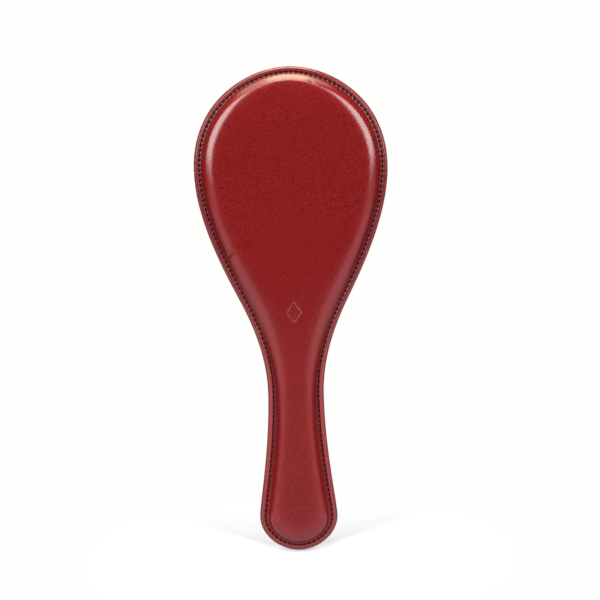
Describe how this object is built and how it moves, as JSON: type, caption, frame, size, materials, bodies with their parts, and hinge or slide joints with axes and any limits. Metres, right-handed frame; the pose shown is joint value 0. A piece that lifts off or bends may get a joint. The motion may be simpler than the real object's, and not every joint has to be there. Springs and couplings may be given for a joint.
{
  "type": "padded leather hand paddle",
  "caption": "Flat padded hand paddle with a teardrop blade flowing into a flared handle, two leather covers sewn together round the edge.",
  "frame": {"origin": "under the middle of the butt, on the plane between the two covers", "axes": "+Z along the paddle from the butt to the top of the blade, -Y out of the front face with the tooled mark, +Y out of the back face, X across"},
  "size_m": [0.1316, 0.017, 0.33],
  "materials": {
    "cover_leather": "smooth, fine grain, satin gloss",
    "padding_foam": "closed-cell foam, matt",
    "board_fibre": "pressed fibreboard, matt",
    "seam_thread": "waxed twisted thread",
    "edge_coat": "burnished edge coat, satin"
  },
  "bodies": {
    "root": {"front_cover": "cover_leather", "back_cover": "cover_leather", "front_padding": "padding_foam", "back_padding": "padding_foam", "core_board": "board_fibre", "needle_thread": "seam_thread", "bobbin_thread": "seam_thread", "edge_paint": "edge_coat"}
  },
  "joints": []
}
